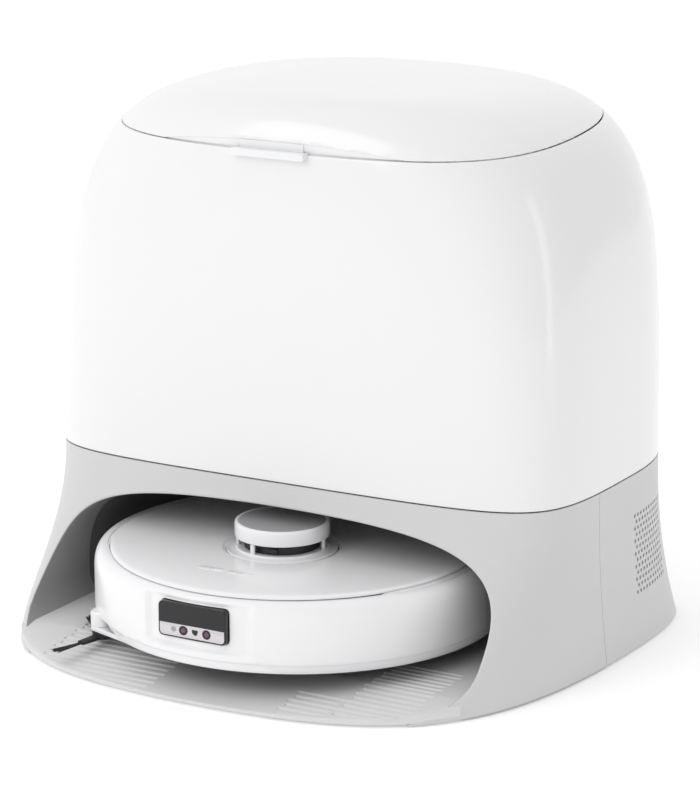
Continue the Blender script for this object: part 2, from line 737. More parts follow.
def build_bay_liner():
    b = Build()
    ax, az = arch_outline(-0.8, 90)
    ax, az = resample(ax, np.maximum(az, 13.0), 130)
    full_x = np.concatenate([-ax[::-1], ax[1:]])
    full_z = np.concatenate([az[::-1], az[1:]])
    ys = np.linspace(LIP_BACK_Y - 0.6, BAY_BACK_Y - 14, 16)
    rows = [np.stack([full_x, np.full_like(full_x, y), full_z], -1) for y in ys]
    cx, cz = 0.0, 60.0
    for t in np.linspace(0, 1, 9)[1:]:
        f = 14 * (1 - math.cos(t * math.pi / 2))
        k = 1 - f / 120.0
        rows.append(
            np.stack(
                [
                    cx + (full_x - cx) * k,
                    np.full_like(full_x, BAY_BACK_Y - 14 + 14 * math.sin(t * math.pi / 2)),
                    cz + (full_z - cz) * k,
                ],
                -1,
            )
        )
    for k in (0.6, 0.3, 0.02):
        rows.append(
            np.stack(
                [full_x * k * 0.88, np.full_like(full_x, BAY_BACK_Y), cz + (full_z - cz) * k * 0.88],
                -1,
            )
        )
    ob = b.grid(np.stack(rows, 0)).make("bay_liner_skin")
    m = ob.modifiers.new("wall", "SOLIDIFY")
    m.thickness, m.offset = 2.2 * MM, 1
    apply_modifiers(ob)
    return smooth_by_angle(ob, 45)


def build_tray():
    edges = {-212.0, 212.0, -206.0, 206.0}
    for x0, x1, _, _ in RIB_FIELDS:
        for e in (x0, x0 + 2.4, x1 - 2.4, x1):
            edges.update((e - 0.2, e + 0.2))
    xs = sorted(edges | set(np.arange(-208, 209, 8.0)))
    xs = np.array([x for i, x in enumerate(xs) if i == 0 or x - xs[i - 1] > 0.15])
    ys = np.concatenate([np.arange(-241.0, -92.0, 0.5), np.arange(-92.0, BAY_BACK_Y - 1, 4.0)])
    z_edge = 4.0
    front = np.interp(xs, *[v for v in front_edge(z_edge)])
    yg = np.maximum(ys[:, None], front[None])
    xg = np.broadcast_to(xs[None], yg.shape)
    z = tray_height(yg)
    phase = np.mod(yg + 241.0, RIB_PITCH)
    index = np.floor((yg + 241.0) / RIB_PITCH)
    groove = np.clip(1 - ((phase - 5.6) / 2.1) ** 4, 0, 1)
    lip = np.clip((yg - front[None] - 4.0) / 1.0, 0, 1)
    for x0, x1, y0, y1 in RIB_FIELDS:
        odd = np.mod(index, 2) * 2.4
        inside = (xg > x0 + odd) & (xg < x1 - odd) & (yg > y0) & (yg < y1)
        z = z - inside * groove * lip * 1.15
    rim = np.clip(1 - (yg - front[None]) / 1.4, 0, 1)
    z = z - 0.9 * rim**2
    top = np.stack([xg, yg, z], -1)
    skirt = [top[0].copy() for _ in range(2)]
    skirt[0][:, 2] = FLOOR_GAP + 0.9
    skirt[1][:, 2] = FLOOR_GAP + 0.15
    skirt[1][:, 1] += 0.9
    back = top[-1].copy()
    back[:, 2] = FLOOR_GAP + 0.15
    b = Build()
    b.grid(np.concatenate([np.stack(skirt[::-1], 0), top, back[None]], 0))
    bottom = np.stack([skirt[1], back], 0)
    b.grid(bottom, flip=True)
    for i in (0, -1):
        below = top[:, i] * [1, 1, 0] + [0, 0, FLOOR_GAP + 0.15]
        b.grid(np.stack([top[:, i], below], 0))
    ob = b.make("base_tray_skin", merge=0.002)
    return smooth_by_angle(ob, 40)


def front_edge(z):
    w = np.linspace(-1, 1, 400)
    x, y = skirt_point(np.mod(w, 4.0), np.full_like(w, z))
    return x, y + 0.3


# ------------------------------------------------------------------- the robot
def rim_profile():
    """(radius, z) from the bottom of the bumper to the inner edge of its rim."""
    pts = [
        (170.4, 29.0), (171.2, 29.1), (172.0, 29.8), (173.0, 34.2), (173.3, 36.3), (173.5, 36.7),
        (174.7, 37.3), (174.95, 38.6), (175.0, 41.0),
    ]
    pts += [(175.0, z) for z in np.linspace(45, 70, 8)]
    a, b, c, d = (np.array(p) for p in ((175.0, 72.0), (175.0, 83.5), (171.5, 88.4), (163.6, 88.4)))
    for t in np.linspace(0, 1, 22):
        pts.append(tuple((1 - t) ** 3 * a + 3 * t * (1 - t) ** 2 * b + 3 * t * t * (1 - t) * c + t**3 * d))
    p = np.array(pts)
    d = np.concatenate([[0], np.cumsum(np.hypot(*np.diff(p, axis=0).T))])
    return p, d


PROFILE, PROFILE_S = rim_profile()


def rim_at(s):
    return np.interp(s, PROFILE_S, PROFILE[:, 0]), np.interp(s, PROFILE_S, PROFILE[:, 1])


def s_of_z(z):
    return np.interp(z, PROFILE[:, 1], PROFILE_S)


def low_cut(phi):
    """Height of the bumper's lower edge; phi in degrees from the front, +X positive."""
    a = np.clip((phi + 76.0) / 16.0, 0, 1) * np.clip((-26.0 - phi) / 18.0, 0, 1)
    ease = a * a * (3 - 2 * a)
    return 29.0 + 9.5 * ease


def recess(x, z):
    def soft(v, a, b):
        t = np.clip((v - a) / (b - a), 0, 1)
        return t * t * (3 - 2 * t)

    return 3.5 * soft(52 - np.abs(x - 2), 0, 9) * soft(z, 41, 46) * soft(86.5 - z, 0, 5)


def rim_point(phi, s, inset=0.0, with_recess=True):
    r, z = rim_at(s)
    r = r - inset
    x = RX + r * np.sin(np.radians(phi))
    y = RY - r * np.cos(np.radians(phi))
    if with_recess:
        y = y + recess(x, z) * (np.cos(np.radians(phi)) > 0.5)
    return np.stack(np.broadcast_arrays(x, y, z), -1)


WIN_W, WIN_H, WIN_Z, WIN_R = 65.0, 30.5, 65.5, 5.4


def build_bumper():
    b = Build()
    rows = PROFILE_S
    patch = 24.0
    left = np.arange(-91.5, -patch + 0.01, 0.9)
    left = np.append(left[left < -patch - 0.2], -patch)
    right = -left[::-1]
    for cols in (left, right):
        z0 = low_cut(cols) if cols is left else np.full_like(cols, 29.0)
        s0 = s_of_z(z0)
        sg = s0[None] + (rows[-1] - s0[None]) * (rows / rows[-1])[:, None]
        sg[:, -1 if cols is left else 0] = rows
        b.grid(rim_point(cols[None], sg))
    top_phi = np.linspace(patch, -patch, 49)
    ring = [(patch, s) for s in rows] + [(p, rows[-1]) for p in top_phi[1:]]
    ring += [(-patch, s) for s in rows[::-1][1:]] + [(p, rows[0]) for p in top_phi[::-1][1:-1]]
    ring = np.array(ring)
    centre = np.array([0.0, s_of_z(WIN_Z)])
    outline = np.array(rounded_rect(0, WIN_Z, WIN_W, WIN_H, WIN_R, 8))
    r_of = np.interp(outline[:, 1], PROFILE[:, 1], PROFILE[:, 0])
    hole = np.stack([np.degrees(np.arcsin(outline[:, 0] / r_of)), s_of_z(outline[:, 1])], -1)
    closed = np.concatenate([hole, hole[:1]])
    seg_a, seg_b = closed[:-1], closed[1:]
    hits = []
    for p in ring:
        d = p - centre
        best = None
        for a, e in zip(seg_a, seg_b):
            m = np.array([[d[0], a[0] - e[0]], [d[1], a[1] - e[1]]])
            det = np.linalg.det(m)
            if abs(det) < 1e-12:
                continue
            t, u = np.linalg.solve(m, a - centre)
            if t > 0 and -1e-6 <= u <= 1 + 1e-6 and (best is None or t < best):
                best = t
        hits.append(centre + d * best)
    hits = np.array(hits)
    v = np.concatenate([[0, 0.012, 0.03], np.linspace(0.06, 1, 30)])[:, None, None]
    g = hits[None] + (ring - hits)[None] * v
    pts = rim_point(g[..., 0], g[..., 1])
    inward = pts[0] + np.array([0, 2.4, 0])
    pts[0] += np.array([0, 0.35, 0])
    b.grid(np.concatenate([inward[None], pts], 0), wrap_cols=True)
    ob = b.make("robot_bumper_skin", merge=0.01)
    m = ob.modifiers.new("wall", "SOLIDIFY")
    m.thickness, m.offset = 2.2 * MM, -1
    apply_modifiers(ob)
    bevel(ob, 0.35, 2, 55)
    smooth_by_angle(ob, 45)
    # small rounded blocks over the side brush, where the wall is cut back
    extras = []
    for phi, size in ((-66, 5.0), (-60, 4.2), (-53, 5.0), (-46, 3.6)):
        p = rim_point(np.array(phi), np.array(s_of_z(34.0)), 3.0, False)
        out = prism("lug", rounded_rect(0, 0, size * 1.8, 4.0, 1.4), 26.5, 35.0, edge=1.2, segments=3)
        out.matrix_world = Matrix.Translation(
            Vector(p * [1, 1, 0]) * MM
        ) @ Matrix.Rotation(math.radians(phi), 4, "Z")
        extras.append(out)
    for o in extras:
        o.data.transform(o.matrix_world)
        o.matrix_world = Matrix.Identity(4)
    return join("robot_bumper_skin", [ob] + extras)


COVER = (0.0, -58.0, 156.5)


def build_housing():
    """Back wall and rim, and the hollow shelf round the top cover."""
    b = Build()
    cols = np.linspace(88.6 + 0.9, 360 - 88.6 - 0.9, 240)
    wall = rim_point(
        cols[None], np.broadcast_to(PROFILE_S[:, None], (len(PROFILE_S), len(cols))), with_recess=False,
    )
    b.grid(wall)
    ob = b.make("robot_housing_wall", merge=0.01)
    m = ob.modifiers.new("wall", "SOLIDIFY")
    m.thickness, m.offset = 2.2 * MM, -1
    apply_modifiers(ob)
    bevel(ob, 0.35, 2, 55)
    smooth_by_angle(ob, 45)
    # shelf: from the rim's inner edge, down and in to the groove round the cover
    a = np.linspace(0, 360, 361)[:-1]
    rim = np.stack(
        [RX + 163.2 * np.sin(np.radians(a)), RY - 163.2 * np.cos(np.radians(a)), np.full_like(a, 88.35)],
        -1,
    )
    cover = np.stack(
        [
            COVER[0] + (COVER[2] + 0.9) * np.sin(np.radians(a)),
            COVER[1] - (COVER[2] + 0.9) * np.cos(np.radians(a)), np.full_like(a, 88.3),
        ],
        -1,
    )
    gap = np.linalg.norm(rim[:, :2] - cover[:, :2], axis=1)
    inside = np.hypot(cover[:, 0] - RX, cover[:, 1] - RY) < 162.6
    reach = np.where(inside, 1.0, 0.0)[:, None]
    cover = np.where(reach > 0, cover, rim + (cover - rim) * 0 + np.array([0, 0, -0.1]))
    rows = []
    depth = np.clip(gap / 24.0, 0, 1) * 2.6
    for t in np.linspace(0, 1, 18):
        p = rim + (cover - rim) * t
        p = p.copy()
        p[:, 2] -= depth * np.sin(math.pi * min(t * 1.0, 1.0)) ** 1.0 * (1 if t < 1 else 0)
        rows.append(p)
    floor = rows[-1].copy()
    floor[:, 2] = 86.0
    rows.append(floor)
    inner = floor.copy()
    inner[:, :2] = np.array([0, -58.0]) + (inner[:, :2] - np.array([0, -58.0])) * 0.32
    rows.append(inner)
    shelf = Build().grid(np.stack(rows, 0), wrap_cols=True).make("shelf")
    m = shelf.modifiers.new("wall", "SOLIDIFY")
    m.thickness, m.offset = 1.0 * MM, -1
    apply_modifiers(shelf)
    smooth_by_angle(shelf, 45)
    ring = lathe("ring", [(155.6, 60), (157.8, 60), (157.8, 85), (155.6, 85)], (RX, RY), 192)
    smooth_by_angle(ring, 40)
    return join("robot_housing_skin", [ob, shelf, ring])


TURRET = (0.0, -80.0)


def build_cover():
    a = np.linspace(0, 2 * math.pi, 288, endpoint=False)
    inner = np.stack([TURRET[0] + 50.6 * np.cos(a), TURRET[1] + 50.6 * np.sin(a)], -1)
    outer = np.stack([COVER[0] + (COVER[2] - 0.2) * np.cos(a), COVER[1] + (COVER[2] - 0.2) * np.sin(a)], -1)
    v = np.concatenate([np.linspace(0, 0.94, 22), [0.97, 0.985, 0.993, 1.0]])
    rows = []
    for t in v:
        p = inner + (outer - inner) * t
        drop = 0.0 if t < 0.97 else 1.0 * ((t - 0.97) / 0.03) ** 2
        rows.append(np.concatenate([p, np.full((len(a), 1), 92.0 - drop)], 1))
    low = rows[-1].copy()
    low[:, 2] = 89.1
    rows.append(low)
    low_in = rows[0].copy()
    low_in[:, 2] = 89.1
    ring = [np.concatenate([inner, np.full((len(a), 1), 91.9)], 1)]
    for dr, dz in ((-0.5, -0.5), (-1.4, -1.1), (-2.6, -1.3), (-3.0, -1.5), (-3.1, -2.8)):
        q = np.stack(
            [
                TURRET[0] + (50.6 + dr) * np.cos(a), TURRET[1] + (50.6 + dr) * np.sin(a),
                np.full_like(a, 92.0 + dz),
            ],
            -1,
        )
        ring.append(q)
    rows = [rows[-1]] + rows[:-1][::-1] + ring + [ring[-1] * 1.0]
    rows = rows[:-1]
    bottom_outer, bottom_inner = rows[0], rows[-1]
    body = Build()
    body.grid(np.stack(rows, 0), wrap_cols=True)
    body.grid(np.stack([bottom_outer, bottom_inner], 0), wrap_cols=True, flip=True)
    ob = body.make("robot_top_cover_skin", merge=0.01)
    return smooth_by_angle(ob, 35)


def strip_ring(name, outline, width, z0, z1):
    """Thin closed band that follows an outline."""
    p = np.array(outline)
    n = len(p)
    t = np.roll(p, -1, 0) - np.roll(p, 1, 0)
    nrm = np.stack([t[:, 1], -t[:, 0]], -1)
    nrm /= np.linalg.norm(nrm, axis=1)[:, None]
    o, i = p + nrm * width / 2, p - nrm * width / 2
    z = lambda q, h: np.concatenate([q, np.full((n, 1), h)], 1)
    rows = [z(o, z0), z(o, z1), z(i, z1), z(i, z0)]
    return smooth_by_angle(Build().grid(np.stack(rows, 0), wrap_rows=True, wrap_cols=True).make(name), 40)


def pill(cx, cy, w, d, steps=16):
    r = d / 2
    pts = []
    for k in range(steps + 1):
        a = -math.pi / 2 + math.pi * k / steps
        pts.append((cx + w / 2 - r + r * math.cos(a), cy + r * math.sin(a)))
    for k in range(steps + 1):
        a = math.pi / 2 + math.pi * k / steps
        pts.append((cx - w / 2 + r + r * math.cos(a), cy + r * math.sin(a)))
    return pts


def build_turret():
    base = lathe(
        "turret_ring",
        [
            (31.6, 78), (31.6, 93.6), (35.6, 94.0), (38.4, 94.0), (38.9, 93.6), (39.2, 92.6),
            (41.0, 91.9), (43.5, 91.7), (45.6, 91.9), (46.4, 92.2), (46.8, 91.9), (46.9, 91.0),
            (46.9, 74), (36, 72.2), (4.4, 72.2), (4.4, 78),
        ],
        TURRET,
        192,
    )
    parts = [smooth_by_angle(base, 30)]
    for phi in (-10.3, 98.0, 150.0, 206.0, -62.0):
        post = prism("post", rounded_rect(0, -37.2, 4.0, 2.6, 0.9, 4), 93.7, 102.0, edge=0.3)
        post.data.transform(
            Matrix.Translation(
                Vector((TURRET[0], TURRET[1], 0)) * MM
            ) @ Matrix.Rotation(math.radians(phi), 4, "Z")
        )
        parts.append(post)
    finish_piece(join("turret_base_skin", parts), "turret_base")
    cap = lathe(
        "turret_cap_skin",
        [
            (0.001, 115.35), (30, 115.35), (37.2, 115.35), (37.5, 115.5), (37.8, 115.75), (38.4, 115.7),
            (39.3, 115.1), (39.85, 114.0), (40.0, 112.0), (39.9, 104.2), (39.6, 103.0), (39.0, 102.6),
            (36.0, 102.6), (35.6, 103.2), (35.6, 111.5), (0.001, 111.5),
        ],
        TURRET,
        192,
        closed=False,
    )
    finish_piece(smooth_by_angle(cap, 32), "turret_cap")
    disc_top = lathe(
        "turret_cap_disc",
        [(0.001, 115.55), (36.2, 115.55), (36.7, 115.5), (36.9, 115.3), (0.001, 115.2)], TURRET, 128,
        closed=False,
    )
    trim(smooth_by_angle(disc_top, 30), "turret_cap", "cap_grey")
    rotor = lathe(
        "lidar_rotor_skin",
        [
            (0.001, 101.0), (27, 101.0), (30.2, 100.4), (31.0, 99.2), (31.0, 82), (29, 80), (4.0, 80),
            (4.0, 73.2), (0.001, 73.2),
        ],
        TURRET, 128, closed=False,
    )
    smooth_by_angle(rotor, 32)
    lens_ring = [
        prism("eye", rounded_rect(s * 9, -30.6, 9, 1.4, 0.5, 3), 94.5, 98.6, edge=0.3)
        for s in (-1, 1)
    ]
    for e in lens_ring:
        e.data.transform(Matrix.Translation(Vector((TURRET[0], TURRET[1], 0)) * MM))
    finish_piece(join("lidar_rotor_skin", [rotor] + lens_ring), "lidar_rotor")


def build_window():
    face = rounded_rect(0, 65.5, 64.0, 29.5, 5.0, 8)
    glass = prism("camera_window_skin", face, -222.3, -216.5, axis="y", edge=0.7, segments=3)
    finish_piece(glass, "camera_window")
    inner = rounded_rect(0, 65.5, 61.2, 26.7, 4.0, 8)
    low = [p for p in inner if p[1] < 61.0]
    order = [(-30.6, 62.6)] + sorted(
        [p for p in low if p[0] < 0], key=lambda p: -p[1],
    ) + sorted([p for p in low if p[0] >= 0], key=lambda p: p[1]) + [(30.6, 62.6)]
    plate = prism("window_strip", order, -222.5, -221.9, axis="y", edge=0.12, segments=1)
    trim(plate, "bumper", "window_glass", mat="silver_strip")
    lenses, rings = [], []
    for x in (-8.0, 14.0):
        def turned(profile, name):
            ob = lathe(name, profile, (0, 0), 64, closed=False)
            ob.data.transform(
                Matrix.Translation(
                    Vector((x, -222.45, 57.9)) * MM
                ) @ Matrix.Rotation(math.radians(90), 4, "X")
            )
            return smooth_by_angle(ob, 35)
        rings.append(
            turned(
                [
                    (0.001, 0.1), (2.2, 0.12), (2.5, 0.5), (3.7, 0.55), (3.95, 0.4), (4.0, 0.0),
                    (0.001, -0.2),
                ],
                "lens_ring",
            )
        )
        lenses.append(
            turned([(0.001, 0.75), (0.9, 0.7), (1.7, 0.5), (2.3, 0.15), (0.001, -0.1)], "lens_dome")
        )
    finish_piece(join("camera_lenses_skin", lenses), "camera_lenses")
    trim(join("camera_lens_rings", rings), "bumper", "window_glass")
    slot_hole = prism(
        "sensor_slot",
        round_corner(
            [(0.2, 60.0), (0.2, 57.6), (2.2, 55.4), (4.4, 55.4), (5.8, 57.6), (5.8, 60.0)], 0.8, 3,
        ),
        -222.75, -222.2, axis="y", edge=0.15,
    )
    trim(slot_hole, "bumper", "window_glass")
    emitter = prism("emitter_ring", circle(-17.4, 57.9, 2.3, 32), -222.72, -222.2, axis="y", edge=0.2)
    trim(emitter, "bumper", "cap_grey")


# ---------------------------------------------------------- smaller pieces
def spin_piece(name, profile, centre, axis, steps=64, closed=False):
    """Lathe about X or Y: profile is (radius, distance along the axis)."""
    ob = lathe(name, profile, (0, 0), steps, closed=closed)
    turn = Matrix.Rotation(math.radians(90), 4, "Y" if axis == "x" else "X")
    ob.data.transform(Matrix.Translation(Vector(centre) * MM) @ turn)
    return smooth_by_angle(ob, 35)


def build_wheels():
    for side, tag in ((-1, "right"), (1, "left")):
        c = (side * 118.0, -75.0, 46.3)
        tread = [(28.2, -9.8), (31.0, -9.8), (31.4, -9.2), (31.4, 9.2), (31.0, 9.8), (28.2, 9.8)]
        tyre = spin_piece("tyre", tread, c, "x", 96, closed=True)
        lugs = []
        for i in range(36):
            lug = prism("lug", rounded_rect(0, 0, 2.6, 17.6, 0.5, 2), 31.0, 31.95, edge=0.25, segments=1)
            a = 2 * math.pi * i / 36
            lug.data.transform(
                Matrix.Translation(Vector(c) * MM) @ Matrix.Rotation(a, 4, "X") @ Matrix.Rotation(
                    math.radians(90), 4, "Z",
                )
            )
            lugs.append(lug)
        finish_piece(join(f"drive_tyre_{tag}_skin", [tyre] + lugs), f"drive_tyre_{tag}")
        o = side
        hub = spin_piece(
            "hub",
            [
                (0.001, o * 10.2), (7, o * 10.2), (8, o * 8.8), (20, o * 7.2), (24, o * 8.6),
                (27.6, o * 10.6), (28.0, o * 10.2), (28.0, -o * 10.8), (3.0, -o * 10.8),
                (3.0, -o * 18.8), (0.001, -o * 18.8),
            ],
            c, "x", 96,
        )
        spokes = []
        for i in range(6):
            low, high = sorted((o * 6.6, o * 9.4))
            sp = prism("spoke", rounded_rect(15, 0, 12, 3.4, 1.2, 3), low, high, edge=0.4)
            sp.data.transform(
                Matrix.Translation(Vector(c) * MM) @ Matrix.Rotation(
                    2 * math.pi * i / 6, 4, "X",
                ) @ Matrix.Rotation(math.radians(90), 4, "Y")
            )
            spokes.append(sp)
        finish_piece(join(f"drive_wheel_{tag}_skin", [hub] + spokes), f"drive_wheel_{tag}")


def build_rollers():
    for tag, y, hand in (("rear", -92.0, 1), ("front", -126.0, -1)):
        length, core, tip = 164.0, 10.6, 15.4
        us = np.linspace(-length / 2 + 0.4, length / 2 - 0.4, 90)
        b = Build()
        for k in range(6):
            base = 2 * math.pi * k / 6
            ang = base + hand * 0.9 * (1 - np.abs(us) / (length / 2))
            ring = []
            for dr, off in (
                (core - 1, -0.16), (core, -0.13), (tip - 0.5, -0.045), (tip, 0.0), (tip - 0.5, 0.045),
                (core, 0.13), (core - 1, 0.16),
            ):
                ring.append(np.stack([us, y + dr * np.cos(ang + off), 31.0 + dr * np.sin(ang + off)], -1))
            b.grid(np.stack(ring, 0), wrap_rows=True)
        fins = smooth_by_angle(b.make("fins"), 50)
        body = spin_piece(
            "core",
            [
                (0.001, -86.2), (3.0, -86.2), (3.0, -82.2), (9.5, -82.0), (core, -81.0), (core, 81.0),
                (9.5, 82.0), (3.0, 82.2), (3.0, 86.2), (0.001, 86.2),
            ],
            (0, y, 31.0), "x", 64,
        )
        finish_piece(join(f"roller_{tag}_skin", [body, fins]), f"roller_{tag}")


def build_side_brush():
    hub_x, hub_y = -122.0, -170.0
    hub = lathe(
        "hub",
        [
            (0.001, 17.4), (6.5, 17.4), (8.2, 18.2), (9.0, 20.0), (9.0, 24.0), (8.4, 24.6), (2.5, 24.6),
            (2.5, 34.0), (0.001, 34.0),
        ],
        (hub_x, hub_y), 64, closed=False,
    )
    parts = [smooth_by_angle(hub, 35)]
    bristles = []
    for turn, reach in ((-100, 53.0), (20, 56.5), (140, 55.0)):
        c, s = math.cos(math.radians(turn)), math.sin(math.radians(turn))
        side = np.array([-s, c])
        u = np.linspace(5, 27, 20)
        arm = Build()
        ring = []
        for w, h in ((-1, 0), (-1, 1), (-0.6, 1.25), (0.6, 1.25), (1, 1), (1, 0)):
            half = 4.2 - 0.05 * (u - 5)
            p = np.stack(
                [
                    hub_x + c * u + side[0] * half * w, hub_y + s * u + side[1] * half * w,
                    18.4 + h * 2.6 + 0 * u,
                ],
                -1,
            )
            ring.append(p)
        arm.grid(np.stack(ring, 0), wrap_rows=True)
        for end in (0, -1):
            arm.poly([r[end] for r in ring], flip=end == 0)
        parts.append(smooth_by_angle(arm.make("arm"), 40))
        tuft = Build()
        for _ in range(46):
            du, dz = rng.uniform(-2.6, 2.6), rng.uniform(-0.9, 0.9)
            bend = rng.uniform(-1.5, 1.5) - 3.5
            u = np.linspace(25, reach + rng.uniform(-1.5, 0.6), 8)
            t = (u - 25) / (reach - 25)
            off = du * (0.55 + 0.6 * t) + bend * t * t
            px = hub_x + c * u + side[0] * off
            py = hub_y + s * u + side[1] * off
            pz = 19.6 + dz * (0.6 + 0.5 * t) - 0.8 * t * t
            rr = 0.26
            ring = [
                np.stack(
                    [
                        px + side[0] * rr * math.cos(a), py + side[1] * rr * math.cos(a),
                        pz + rr * math.sin(a),
                    ],
                    -1,
                )
                for a in (0.5, 2.6, 4.7)
            ]
            tuft.grid(np.stack(ring, 0), wrap_rows=True)
            tuft.poly([q[0] for q in ring], flip=True)
            tuft.poly([q[-1] for q in ring])
        bristles.append(smooth_by_angle(tuft.make("tuft", 0.0005), 60))
    finish_piece(join("side_brush_skin", parts + bristles), "side_brush")
    angle = math.degrees(math.atan2(20, -62))
    arm = prism("arm", pill(0, 0, 85.1, 20), 25.3, 29.5, edge=0.8, segments=3)
    arm.data.transform(
        Matrix.Translation(Vector((-91, -180, 0)) * MM) @ Matrix.Rotation(math.radians(angle), 4, "Z")
    )
    pivot = lathe("pivot", [(0.001, 28), (3, 28), (3, 38), (0.001, 38)], (-60, -190), 32, closed=False)
    motor = lathe(
        "motor", [(2.6, 29), (9.0, 29), (10, 30), (10, 40.5), (9, 41.8), (2.6, 42)], (hub_x, hub_y), 48,
        closed=True,
    )
    screw = lathe(
        "screw", [(0.001, 30.2), (1.6, 30.2), (2.3, 29.9), (2.4, 29.3), (0.001, 29.3)], (-104, -176),
        32, closed=False,
    )
    finish_piece(
        join(
            "side_brush_arm_skin",
            [arm, smooth_by_angle(pivot), smooth_by_angle(motor), smooth_by_angle(screw)],
        ),
        "side_brush_arm", mat="robot_white",
    )


def build_mops():
    for side, tag in ((-1, "right"), (1, "left")):
        cx, cy = side * 73.0, 20.0
        a = np.linspace(0, 2 * math.pi, 160, endpoint=False)
        rr = np.concatenate([np.linspace(0.5, 64, 40), [65.6, 66.8, 67.4, 67.6]])
        rows = []
        gen = np.random.RandomState(11 + side)
        lump = gen.rand(len(rr), len(a))
        for i, r in enumerate(rr):
            z = 14.7 + 0.5 * lump[i] if r < 66 else 14.9 + 0.3 * lump[i] + (r - 66) * 1.0
            rad = r * (1 + 0.0025 * np.sin(a * 23 + side))
            rows.append(
                np.stack([cx + rad * np.cos(a), cy + rad * np.sin(a), np.broadcast_to(z, a.shape)], -1)
            )
        for r, z in ((67.5, 17.2), (66.8, 18.1), (65, 18.4), (0.5, 18.4)):
            rows.append(np.stack([cx + r * np.cos(a), cy + r * np.sin(a), np.full_like(a, z)], -1))
        b = Build().grid(np.stack(rows, 0), wrap_cols=True)
        b.poly(rows[0][::-1])
        b.poly(rows[-1])
        pad = smooth_by_angle(b.make(f"mop_pad_{tag}_skin"), 60)
        finish_piece(pad, f"mop_pad_{tag}")
        plate = lathe(
            f"mop_plate_{tag}_skin",
            [
                (0.001, 18.5), (65.0, 18.5), (65.9, 18.9), (66.0, 20.6), (65.2, 21.2), (50, 22.2),
                (12, 22.4), (6.4, 24.0), (6.0, 26.0), (6.0, 39.6), (5.4, 40.0), (0.001, 40.0),
            ],
            (cx, cy), 128, closed=False,
        )
        smooth_by_angle(plate, 30)
        ribs = []
        for i in range(6):
            rib = prism("rib", rounded_rect(34, 0, 50, 2.2, 0.8, 3), 21.4, 24.2, edge=0.4)
            rib.data.transform(
                Matrix.Translation(Vector((cx, cy, 0)) * MM) @ Matrix.Rotation(2 * math.pi * i / 6, 4, "Z")
            )
            ribs.append(rib)
        finish_piece(join(f"mop_plate_{tag}_skin", [plate] + ribs), f"mop_plate_{tag}")


def build_buttons():
    for tag, side in (("power_button", -1), ("dock_button", 1)):
        cx = -5.0 + side * 13.5
        body = prism(f"{tag}_skin", pill(cx, -162, 25.0, 9.0), 86.9, 92.1, edge=0.25)
        finish_piece(body, tag)
        if side < 0:
            mark = strip_ring("power_mark", circle(cx, -162, 1.7, 40), 0.35, 92.05, 92.14)
        else:
            roof = round_corner(
                [
                    (cx - 2.0, -163.2), (cx - 2.0, -161.8), (cx, -160.4), (cx + 2.0, -161.8),
                    (cx + 2.0, -163.2),
                ],
                0.25, 2,
            )
            mark = strip_ring("dock_mark", roof, 0.35, 92.05, 92.14)
        trim(mark, tag, "robot_white", mat="cap_grey")


def build_hinge():
    def rod(name, x0, x1, r):
        return spin_piece(
            name,
            [(0.001, x0), (r - 0.3, x0), (r, x0 + 0.3), (r, x1 - 0.3), (r - 0.3, x1), (0.001, x1)],
            (0, 218.4, 449.4), "x", 40,
        )

    finish_piece(rod("lid_hinge_pin_skin", -52, 52, 1.6), "lid_hinge_pin")
    shell_parts, lid_parts = [], []
    for side in (-1, 1):
        shell_parts.append(rod("barrel", side * 45 - 6, side * 45 + 6, 3.2))
        web = prism(
            "web", [(214.0, 447.9), (218.4, 449.4), (221.5, 449.4), (221.0, 442.0), (218.5, 442.0)],
            side * 45 - 6, side * 45 + 6, axis="x", edge=0.3,
        )
        shell_parts.append(web)
        lid_parts.append(rod("barrel", side * 27 - 7, side * 27 + 7, 3.2))
        lid_parts.append(
            prism(
                "web", [(210.6, 449.9), (218.4, 449.5), (221.5, 449.5), (213.0, 457.0), (210.6, 457.0)],
                side * 27 - 7, side * 27 + 7, axis="x", edge=0.3,
            )
        )
    return shell_parts, lid_parts


TAB_X = -5.0


def build_finger_tab():
    tab = prism(
        "lid_finger_tab_skin", rounded_rect(TAB_X, 426.2, 70.0, 6.2, 2.4, 6), -94.2, -84.0, axis="y",
        edge=0.8, segments=3,
    )
    for v in tab.data.vertices:
        v.co.y += 0.5 * MM * (v.co.x / (37 * MM)) ** 2
    neck = prism("neck", rounded_rect(TAB_X, 431.0, 60.0, 9.0, 1.0, 3), -84.6, -80.5, axis="y", edge=0.4)
    return finish_piece(join("lid_finger_tab_skin", [tab, neck]), "lid_finger_tab")


def build_top_ledge():
    """Rim seen through the finger recess, and the deck with its openings."""
    b = Build()
    w = np.linspace(-0.62, 0.62, 260)
    rows = []
    for rise, inset in (
        (RECESS_RISE - 0.2, 5.2), (RECESS_RISE - 0.2, 3.9), (RECESS_RISE - 0.8, 3.5), (2.0, 3.45),
        (-8.0, 3.45), (-8.0, 5.2),
    ):
        z = seam_height(np.mod(w, 4.0), rise)
        half, front, rear, middle, sq_f, sq_r = crown_plan(z)
        x, y = loop((half - inset, front + inset, rear - inset, middle, sq_f, sq_r), np.mod(w, 4.0))
        rows.append(np.stack([x, y, z], -1))
    b.grid(np.stack(rows, 0), wrap_rows=True)
    ledge = smooth_by_angle(b.make("recess_ledge"), 40)
    return trim(ledge, "station", "shell_white", mat="shell_white")


